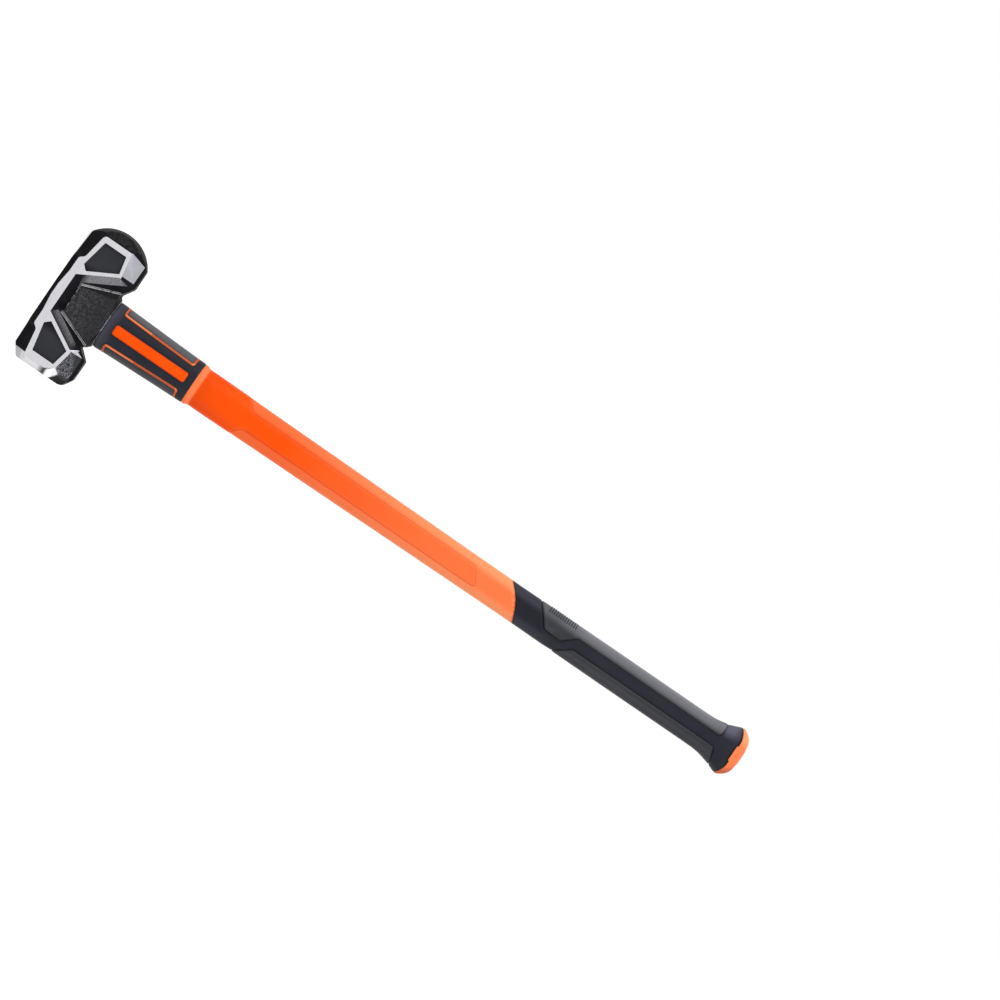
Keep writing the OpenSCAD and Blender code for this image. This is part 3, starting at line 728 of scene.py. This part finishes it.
def distance(points, line):
    """Distance of each point from a path."""
    a, b = line[:-1], line[1:]
    d = b - a
    best = np.full(len(points), 1e9)
    for i in range(len(a)):
        t = np.clip(((points - a[i]) @ d[i]) / max(d[i] @ d[i], 1e-12), 0, 1)
        best = np.minimum(best, np.linalg.norm(points - a[i] - t[:, None] * d[i], axis=1))
    return best


def inside(points, line):
    """Which points lie in the outline that a path closes."""
    a, b = line, np.roll(line, -1, axis=0)
    hit = np.zeros(len(points), bool)
    for (x1, z1), (x2, z2) in zip(a, b):
        if z1 == z2:
            continue
        cross = (z1 > points[:, 1]) != (z2 > points[:, 1])
        hit ^= cross & (points[:, 0] < (x2 - x1) * (points[:, 1] - z1) / (z2 - z1) + x1)
    return hit


def skin_field(low, high, step, lines):
    """Triangles over the front of the handle, with edges along the given paths."""
    across, up = int(2 * SEAM / step) + 1, int((high - low) / step) + 1
    q, z = np.linspace(-SEAM, SEAM, across + 1), np.linspace(low, high, up + 1)
    grid = np.stack(np.meshgrid(q[1:-1], z[1:-1]), axis=-1).reshape(-1, 2)
    gap = np.full(len(grid), 1e9)
    for line in lines:
        gap = np.minimum(gap, distance(grid, line))
    points = list(grid[gap > 0.45 * step])
    edges = []
    border = [(a, low) for a in q[:-1]] + [(SEAM, b) for b in z[:-1]]
    border += [(a, high) for a in q[:0:-1]] + [(-SEAM, b) for b in z[:0:-1]]
    for line in [np.array(border + border[:1])] + list(lines):
        start = len(points)
        points.extend(line)
        edges.extend((start + i, start + i + 1) for i in range(len(line) - 1))
    flat, _, faces, *_ = delaunay_2d_cdt([Vector(p) for p in points], edges, [], 0, 1e-4)
    return np.array([tuple(p) for p in flat]), np.array([tuple(f) for f in faces])


def rise(value, start, length):
    """0 up to a start, then up to 1 over a length."""
    return np.clip((value - start) / length, 0, 1)


def fall(value, end, length):
    """1 until a length before an end, then down to 0."""
    return np.clip((end - value) / length, 0, 1)


def rolled(d, radius, drop):
    """How far a rounded rim falls, at a distance from its edge."""
    t = fall(d, radius, radius)
    return -drop * (1 - np.sqrt(np.clip(1 - t * t, 0, 1)))


def shell(mesh, flat, faces, lift, pale, line):
    """Adds to a mesh the closed skin over some triangles, and its mirror image.

    Each point keeps how pale its colour is, mostly painted sheen and highlights, and how dark it is along
    parting lines, joints and painted shade.
    """
    tone = mesh.verts.layers.float_vector.get("tone") or mesh.verts.layers.float_vector.new("tone")
    used, faces = np.unique(faces, return_inverse=True)
    faces = faces.reshape(-1, 3)
    q, z = flat[used, 0], flat[used, 1]
    outer, inner = skin_points(q, z, lift[used]), skin_points(q, z, np.full(len(used), -SKIN))
    inner[:, 2] -= SKIN * MM * rise(z, BUTT - 8, 8)
    seam = np.abs(np.abs(q) - SEAM) < 1e-3
    tip = z > BUTT - 1e-3
    directed = {(a, b) for f in faces.tolist() for a, b in ((f[0], f[1]), (f[1], f[2]), (f[2], f[0]))}
    rim = [e for e in directed if (e[1], e[0]) not in directed and not (seam[e[0]] and seam[e[1]])
           and not (tip[e[0]] and tip[e[1]])]
    made = []
    for flip in (1, -1):
        o = [mesh.verts.new((p[0], p[1] * flip, p[2])) for p in outer]
        i = [mesh.verts.new((p[0], p[1] * flip, p[2])) for p in inner]
        pale_here = np.broadcast_to(pale, len(flat))[used]
        for p, a, b in zip(o + i, np.tile(pale_here, 2), np.tile(line[used], 2)):
            p[tone] = (a, b, 0)
        made += o + i
        polygons = [[o[a], o[b], o[c]] for a, b, c in faces] + [[i[c], i[b], i[a]] for a, b, c in faces]
        polygons += [[o[b], o[a], i[a], i[b]] for a, b in rim]
        for polygon in polygons:
            mesh.faces.new(polygon if flip == 1 else polygon[::-1])
    bmesh.ops.remove_doubles(mesh, verts=made, dist=0.000004)


def moulding(name, material, *skins):
    """A piece made of skins, each with its points, triangles, lift, paleness (mostly painted sheen) and dark
    line (partly painted shade).
    """
    mesh = bmesh.new()
    for skin in skins:
        shell(mesh, *skin)
    return finished(name, mesh, [material], 50.0)


# collar windows: the middle stripe and the ringed side pads, on the handle's broad side
WINDOW_LOW = 81.7
WINDOW_HIGH = 175.0
RING_W = 2.5
STRIPE_X = 6.0
stripe_corners = [(-STRIPE_X, WINDOW_LOW), (STRIPE_X, WINDOW_LOW),
                  (STRIPE_X, WINDOW_HIGH), (-STRIPE_X, WINDOW_HIGH)]
ring_corners = [(40, WINDOW_HIGH), (14.8, WINDOW_HIGH), (18.2, WINDOW_LOW), (40, WINDOW_LOW)]
stripe = on_skin(rounded(stripe_corners, 3.0, True), True, 0.8)
ring_flat = on_skin(rounded(ring_corners, 3.6), step=0.8)
ring_flat_in = on_skin(rounded(moved_in(ring_corners, RING_W), 1.6), step=0.8)
mirror = np.array([-1, 1])
rings, rings_in = [ring_flat, ring_flat * mirror], [ring_flat_in, ring_flat_in * mirror]
collar, collar_faces = skin_field(COLLAR_LOW, COLLAR_HIGH, 1.6, [stripe] + rings + rings_in)
collar_mid = collar[collar_faces].mean(axis=1)
in_stripe = inside(collar_mid, stripe)
in_rings = [inside(collar_mid, r) for r in rings]
in_pads = [inside(collar_mid, r) for r in rings_in]

# the tongue: full width below the lip, then an S-curve in to two long edges and a slanted end
TONGUE_X = 10.3
bend = np.linspace(0, 1, 13)
sweep = [(26 - (26 - TONGUE_X) * (3 * t * t - 2 * t ** 3), 238 + 20 * t) for t in bend]
sweep_back = [(-x, z) for x, z in sweep[::-1]]
tongue_end = rounded([sweep[-1], (TONGUE_X, 558.6), (-TONGUE_X, 545.4), sweep_back[0]], 4.0)
tongue_path = sweep + tongue_end[1:-1] + sweep_back
tongue = on_skin(tongue_path, step=1.5)
tongue_guides = [on_skin(moved_in(tongue_path, by), step=1.5) for by in (0.55, -0.55)]
start_path = [(-26, 581), (-18.4, 588.2), (-12, 594.6), (-4.4, 600.8), (5, 606.2), (17.9, 611.5), (26, 614)]
start_line = on_skin(rounded(start_path, 30), step=1.2)
shaft, shaft_faces = skin_field(COLLAR_HIGH, 620, 2.2, [tongue, start_line] + tongue_guides)
shaft_mid = shaft[shaft_faces].mean(axis=1)
below_grip = shaft_mid[:, 1] < np.interp(shaft_mid[:, 0], start_line[:, 0], start_line[:, 1])
on_tongue = inside(shaft, np.concatenate([tongue, [(-SEAM, 190), (SEAM, 190)]]))
tongue_d = distance(shaft, tongue) * np.where(on_tongue, 1, -1)
shaft_q, shaft_z = shaft.T
shaft_lift = 0.3 * rise(tongue_d, -0.7, 1.4) * rise(shaft_z, 193, 6)
shaft_lift += rolled(shaft_z - COLLAR_HIGH, 1.2, 0.6)
shaft_line = 0.75 * fall(np.abs(tongue_d), 0.55, 0.55)
# painted shadow under the lip, darkest just below it
shaft_line += 0.22 * fall(shaft_z, 225, 30) * (shaft_z > LIP_END)
# painted sheen: the shaft grows paler towards the grip, and most on its flanks beside the tongue; the lip is
# pale all over
off_tongue = fall(tongue_d, 3, 6)
on_flank = rise(np.abs(shaft_q), 7, 9)
flank_painted_sheen = np.interp(shaft_z, [200, 300, 400, 500, 580, 620], [0.28, 0.33, 0.42, 0.52, 0.64, 0.68])
shaft_painted_sheen = np.clip((shaft_z - 300) / 600, 0, 0.36) + 0.1 * off_tongue * (1 - on_flank)
shaft_painted_sheen += off_tongue * on_flank * flank_painted_sheen
shaft_painted_sheen = np.where(shaft_z < LIP_END, 0.55, shaft_painted_sheen)
# at the shaft's end: a painted highlight along the edge, and painted shadow in the gap before the grip
end_d = distance(shaft, start_line)
shaft_painted_sheen += 0.5 * fall(np.abs(end_d - 1.6), 1.3, 1.3)
shaft_line += 0.7 * fall(end_d, 0.7, 0.7)

orange = moulded("orange polypropylene", (0.97, 0.078, 0.0003), (1.0, 0.09, 0.0008), (0.98, 0.3, 0.12),
                 (0.35, 0.03, 0.002), 0.42, 0.09, 0.0008, 0.00005)
stripe_d = distance(collar, stripe)
stripe_lift = 0.25 + rolled(stripe_d, 0.9, 0.55)
jacket_skins = [(shaft, shaft_faces[below_grip], shaft_lift, shaft_painted_sheen, shaft_line),
                (collar, collar_faces[in_stripe], stripe_lift, 0.0, 0.5 * fall(stripe_d, 0.7, 0.7))]
for outer, inner, ring_in, pad_in in zip(rings, rings_in, in_rings, in_pads):
    # painted highlight: the ribs are pale all over, dark only along their edges
    rib_d = np.minimum(distance(collar, outer), distance(collar, inner))
    rib_lift = 0.5 + rolled(rib_d, 1.1, 0.8)
    rib_line = 0.7 * fall(rib_d, 0.8, 0.8)
    jacket_skins.append((collar, collar_faces[ring_in & ~pad_in], rib_lift, 0.85, rib_line))
jacket = moulding("orange_jacket", orange, *jacket_skins)
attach(jacket, "root")
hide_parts("handle_jacket")

# Collar sleeve.
# A soft black guard moulded round the top of the handle, where a missed blow lands. It is shut off
# round the stripe and the two rings.

collar_z = collar[:, 1]
sleeve_d = np.minimum.reduce([distance(collar, line) for line in [stripe] + rings])
sleeve_lift = rolled(sleeve_d, 0.8, 0.45)
sleeve_lift += rolled(collar_z - COLLAR_LOW, 1.6, 1.2) + rolled(COLLAR_HIGH - collar_z, 1.2, 0.8)
# painted sheen near the collar's top
sleeve_painted_sheen = 0.42 * fall(collar_z, 84, 11)
sleeve_line = 0.8 * fall(sleeve_d, 1.4, 1.4)
sleeve_faces = collar_faces[~(in_stripe | in_rings[0] | in_rings[1])]
sleeve = moulding("collar_guard", soft_black, (collar, sleeve_faces, sleeve_lift, sleeve_painted_sheen, sleeve_line))
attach(sleeve, "root")
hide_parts("collar_sleeve")

# Collar pads.
# Two greyer soft pads on the collar's narrow sides, moulded inside the orange rings with a matte grain.

soft_grey = moulded("grained soft pad", (0.018, 0.0187, 0.0245), (0.027, 0.0278, 0.035), (0.27, 0.272, 0.3),
                    (0.003, 0.003, 0.004), 0.5, 0.25, 0.0011, 0.00016, 0.5)
# the pad on the crown side carries more painted sheen than the one on the flat face's side
for name, node, inner, pad_in, pale in (
        ("collar_pad_at_flat_face", "collar_pad_flat_side", rings_in[0], in_pads[0], 0.05),
        ("collar_pad_at_crown", "collar_pad_crown_side", rings_in[1], in_pads[1], 0.25)):
    pad_d = distance(collar, inner)
    pad_line = 0.85 * fall(pad_d, 1.6, 1.6)
    pad = moulding(name, soft_grey, (collar, collar_faces[pad_in], rolled(pad_d, 1.0, 0.5), pale, pad_line))
    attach(pad, "root")
    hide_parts(node)

# Grip sleeve.
# The long soft black grip, moulded over the jacket with a slanted start and a flared end that stops
# the hand. Its middle band lies a little below the two pads.

crown_path = [(-45, 606), (5.2, 644.2), (5.2, 666.2), (-7.5, 680.8), (-7.5, 866), (-45, 866)]
flat_path = [(45, 879), (5.8, 866), (5.8, 682), (45, 630)]
JOINT_TOP_Z = 887.8
JOINT_LEVEL_X = 13.0
TAB_X = 9.5
TAB_Z = 886.2


def joint_z(x):
    """The cap's edge: level beside the key tab, then falling away to the narrow sides."""
    return JOINT_TOP_Z - 0.031 * max(x - JOINT_LEVEL_X, 0) ** 1.9


joint_far = [(x, joint_z(x)) for x in np.linspace(29.5, TAB_X, 14)]
joint_half = [(45, joint_z(29.5))] + joint_far + [(TAB_X - 0.4, TAB_Z)]
joint_path = [(-x, z) for x, z in joint_half] + joint_half[::-1]
crown_pad = on_skin(rounded(crown_path, 5.0), step=1.0)
flat_pad = on_skin(rounded(flat_path, 5.0), step=1.0)
joint = on_skin(joint_path, step=0.8)
grip_guides = [on_skin(rounded(moved_in(pad_path, by), 5.0), step=1.2)
               for pad_path in (crown_path, flat_path) for by in (0.8, 2.0, -0.9)]
grip, grip_faces = skin_field(576, BUTT, 1.7, [crown_pad, flat_pad, joint, start_line] + grip_guides)
grip_q, grip_z = grip.T
grip_mid = grip[grip_faces].mean(axis=1)
past_start = grip_mid[:, 1] > np.interp(grip_mid[:, 0], start_line[:, 0], start_line[:, 1])
in_cap = inside(grip_mid, np.concatenate([joint, [(SEAM, 910), (-SEAM, 910)]]))
in_crown, in_flat = inside(grip_mid, crown_pad), inside(grip_mid, flat_pad)
crown_d, flat_d, joint_d = (distance(grip, line) for line in (crown_pad, flat_pad, joint))
start_d = distance(grip, start_line)
pads_d = np.minimum(crown_d, flat_d)
between_pads = rise(grip_z, 652, 14) * fall(grip_z, 872, 10)
grip_lift = -0.7 * between_pads + rolled(pads_d, 1.3, 0.9 - 0.5 * between_pads)
grip_lift += rolled(start_d, 0.8, 0.35) + rolled(joint_d, 0.9, 0.5) + 0.15 * fall(start_d, 3, 3)
# painted sheen on the crown side of the flare, and a little on the flanks of the start
grip_painted_sheen = rise(-grip_q, 8, 7) * rise(grip_z, 846, 16) * fall(grip_z, 885, 9)
start_fade = fall(grip_z, 660, 20)
grip_flank = rise(np.abs(grip_q), 6, 10)
grip_painted_sheen += 0.17 * start_fade * grip_flank
# dark along the grooves beside the pads, which fade at the crown-side pad's foot, and by both ends: dark
# joints with painted shade in them; and painted shade across the middle of the start
at_foot = rise(-grip_q, 10, 6) * rise(grip_z, 848, 8)
groove_reach = np.where(grip_z < 672, 1.4, 1.1)
groove_line = 0.9 * fall(pads_d, 1.5 * groove_reach, groove_reach) * (1 - 0.6 * at_foot)
groove_line *= np.where(flat_d < crown_d, 1 - 0.35 * rise(grip_z, 690, 30), 1)
start_edge, joint_edge = 0.85 * fall(start_d, 1.28, 0.8), 0.95 * fall(joint_d, 2.2, 1)
start_painted_shade = 0.35 * start_fade * (1 - grip_flank)
grip_line = np.maximum.reduce([groove_line, start_edge, joint_edge, start_painted_shade])
sleeve_part = past_start & ~in_cap & ~in_crown & ~in_flat
grip_sleeve = moulding("grip_sleeve_skin", soft_black,
                       (grip, grip_faces[sleeve_part], grip_lift, grip_painted_sheen, grip_line))
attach(grip_sleeve, "root")
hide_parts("grip_sleeve")

# Grip pads.
# Two long crowned pads of a greyer, grained soft compound, let into the grip's narrow sides. The crown
# side's pad has a lobe across the middle where the leading hand turns.

for name, node, chosen, edge_d in (("grip_pad_at_flat_face", "grip_pad_flat_side", in_flat, flat_d),
                                   ("grip_pad_at_crown", "grip_pad_crown_side", in_crown, crown_d)):
    pad_lift = rolled(edge_d, 2.4, 1.3) + 0.2 * rise(edge_d, 0, 6)
    # painted sheen that grows towards the crown side and fades at the far foot, with a faint painted
    # highlight inside the start; painted shade towards the flat face's side
    pad_painted_sheen = 0.75 * rise(-grip_q, 6, 20) ** 0.9 * np.clip((grip_z - 625) / 60, 0.45, 1)
    pad_painted_sheen *= 1 - 0.6 * rise(-grip_q, 18, 8) * rise(grip_z, 838, 20)
    pad_painted_sheen += 0.06 * fall(np.abs(edge_d - 4), 2.5, 2.5) * (grip_z < 655)
    pad_line = np.maximum(0.8 * fall(edge_d, 1.43, 1.1), 0.2 * rise(grip_q, 16, 8)) * (1 - 0.6 * at_foot)
    pad = moulding(name, soft_grey, (grip, grip_faces[chosen], pad_lift, pad_painted_sheen, pad_line))
    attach(pad, "root")
    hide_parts(node)

# Thumb ribs.
# A short row of fine raised ribs moulded round the narrow side of the crown-side pad, where the
# leading hand's thumb rests.

rib_tree = bpy.data.node_groups.new("thumb rib row", "GeometryNodeTree")
rib_sockets = {}
for label, kind, value in (("Ribs", "NodeSocketInt", 13), ("Pitch", "NodeSocketFloat", 2.8 * MM),
                           ("Edge radius", "NodeSocketFloat", 13.75 * MM),
                           ("Sweep", "NodeSocketFloat", 1.9), ("Rib radius", "NodeSocketFloat", 0.55 * MM),
                           ("First", "NodeSocketVector", (0, 0, 0)),
                           ("Finish", "NodeSocketMaterial", None)):
    socket = rib_tree.interface.new_socket(label, in_out="INPUT", socket_type=kind)
    rib_sockets[label] = socket.identifier
    if value is not None:
        socket.default_value = value
rib_tree.interface.new_socket("Geometry", in_out="OUTPUT", socket_type="NodeSocketGeometry")
rib_in = add(rib_tree, "NodeGroupInput").outputs
rib_from = maths(rib_tree, "MULTIPLY_ADD", rib_in["Sweep"], -0.5, math.pi)
rib_arc = add(rib_tree, "GeometryNodeCurveArc", {
    "Resolution": 25, "Radius": rib_in["Edge radius"],
    "Start Angle": rib_from, "Sweep Angle": rib_in["Sweep"]}, mode="RADIUS")
rib_round = add(rib_tree, "GeometryNodeCurvePrimitiveCircle", {
    "Resolution": 8, "Radius": rib_in["Rib radius"]}, mode="RADIUS")
rib_body = add(rib_tree, "GeometryNodeCurveToMesh", {
    "Curve": rib_arc.outputs["Curve"], "Profile Curve": rib_round.outputs["Curve"], "Fill Caps": True})
rib_offset = add(rib_tree, "ShaderNodeCombineXYZ", {"Z": rib_in["Pitch"]})
rib_row = add(rib_tree, "GeometryNodeMeshLine", {
    "Count": rib_in["Ribs"], "Start Location": rib_in["First"],
    "Offset": rib_offset.outputs[0]}, mode="OFFSET")
rib_copies = add(rib_tree, "GeometryNodeInstanceOnPoints", {
    "Points": rib_row.outputs["Mesh"], "Instance": rib_body.outputs["Mesh"]})
rib_real = add(rib_tree, "GeometryNodeRealizeInstances", {"Geometry": rib_copies.outputs["Instances"]})
rib_finish = add(rib_tree, "GeometryNodeSetMaterial", {
    "Geometry": rib_real.outputs["Geometry"], "Material": rib_in["Finish"]})
add(rib_tree, "NodeGroupOutput", {"Geometry": rib_finish.outputs["Geometry"]})
rib_maker = placed("rib_maker", bpy.data.meshes.new("rib_maker"))
rib_modifier = rib_maker.modifiers.new("ribs", "NODES")
rib_modifier.node_group = rib_tree
rib_modifier[rib_sockets["First"]] = (-FLAT * MM, 0, 638.5 * MM)
rib_modifier[rib_sockets["Finish"]] = soft_black
rib_data = bpy.data.meshes.new_from_object(rib_maker.evaluated_get(bpy.context.evaluated_depsgraph_get()))
bpy.data.objects.remove(rib_maker)
ribs = placed("thumb_ribs", rib_data)
rib_data.polygons.foreach_set("use_smooth", [True] * len(rib_data.polygons))
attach(ribs, "root")

# Butt cap.
# An orange plastic end cap, pressed on a spigot into the handle's bore. A key tab on each broad side
# stops it turning, and its end is gently domed.

cap_lift = rolled(joint_d, 0.9, 0.5)
# painted sheen all over, strongest at the crown-side end, and a painted highlight beside the joint; dark
# along the joint, and painted shade at the flat face's end
cap_painted_sheen = 0.55 + 0.5 * rise(-grip_q, 10, 6) + 0.3 * fall(np.abs(joint_d - 2.2), 1, 1)
cap_line_and_shade = np.maximum(0.25 * fall(joint_d, 0.84, 0.7), 0.65 * rise(grip_q, 12, 8))
cap = moulding("butt_end_cap", orange, (grip, grip_faces[in_cap], cap_lift, cap_painted_sheen, cap_line_and_shade))
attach(cap, "root")
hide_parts("butt_cap")

# Studio.
# A pale floor under the head that keeps a soft shadow, a white surround, a large soft lamp on the
# crown side and a weaker one opposite, and a long lens square to the cheek.

floor_data = bpy.data.meshes.new("floor")
floor_data.from_pydata([(-9, -9, 0), (9, -9, 0), (9, 9, 0), (-9, 9, 0)], [], [(0, 1, 2, 3)])
floor = placed("floor", floor_data)
floor_finish, floor_tree, floor_shader = new_material("pale floor")
floor_path = add(floor_tree, "ShaderNodeLightPath").outputs
floor_seen = larger(floor_tree, floor_path["Is Camera Ray"], floor_path["Is Glossy Ray"])
feed(floor_tree, floor_shader, {
    "Base Color": (0.35, 0.35, 0.35, 1), "Roughness": 0.9, "Specular IOR Level": 0.0,
    "Emission Color": (1, 1, 1, 1), "Emission Strength": ranged(floor_tree, floor_seen, 0.0, 1.0, 0.0, 0.8)})
floor_data.materials.append(floor_finish)

world = bpy.data.worlds.new("white studio")
world.use_nodes = True
bpy.context.scene.world = world
sky_tree = world.node_tree
sky_path = add(sky_tree, "ShaderNodeLightPath").outputs
sky_seen = larger(sky_tree, sky_path["Is Camera Ray"], sky_path["Is Glossy Ray"])
sky_clear = larger(sky_tree, sky_seen, sky_path["Is Transmission Ray"])
feed(sky_tree, sky_tree.nodes["Background"], {
    "Color": (1, 1, 1, 1), "Strength": ranged(sky_tree, sky_clear, 0.0, 1.0, 0.75, 1.0)})

AIM = Vector((-0.0824, 0.0, 0.528))
RIGHT = Vector((-0.566, 0.0, 0.825)).normalized()
UP = Vector((-0.824, 0.0, -0.565)).normalized()


def soft_lamp(name, place, target, size, power):
    light = bpy.data.lights.new(name, "AREA")
    light.shape = "RECTANGLE"
    light.size, light.size_y = size
    light.energy = power
    lamp = placed(name, light)
    lamp.location = place
    lamp.rotation_euler = (Vector(target) - Vector(place)).to_track_quat("-Z", "Y").to_euler()


soft_lamp("crown_side_softbox", (-1.3, -1.0, 1.0), (0, 0, 0.5), (1.0, 1.4), 22.0)
soft_lamp("flat_side_softbox", (1.4, -0.9, 0.7), (0, 0, 0.45), (0.8, 1.2), 10.0)

lens = bpy.data.cameras.new("camera")
lens.lens = 200.0
lens.sensor_width = 36.0
FRAME_WIDTH = 1.0766
camera = placed("camera", lens)
back = RIGHT.cross(UP)
camera_far = FRAME_WIDTH * lens.lens / lens.sensor_width
camera_turn = Matrix((RIGHT, UP, back)).transposed().to_4x4()
camera.matrix_world = Matrix.Translation(AIM + back * camera_far) @ camera_turn
lens.clip_end = 100.0
bpy.context.scene.camera = camera
bpy.context.scene.view_settings.view_transform = "Standard"
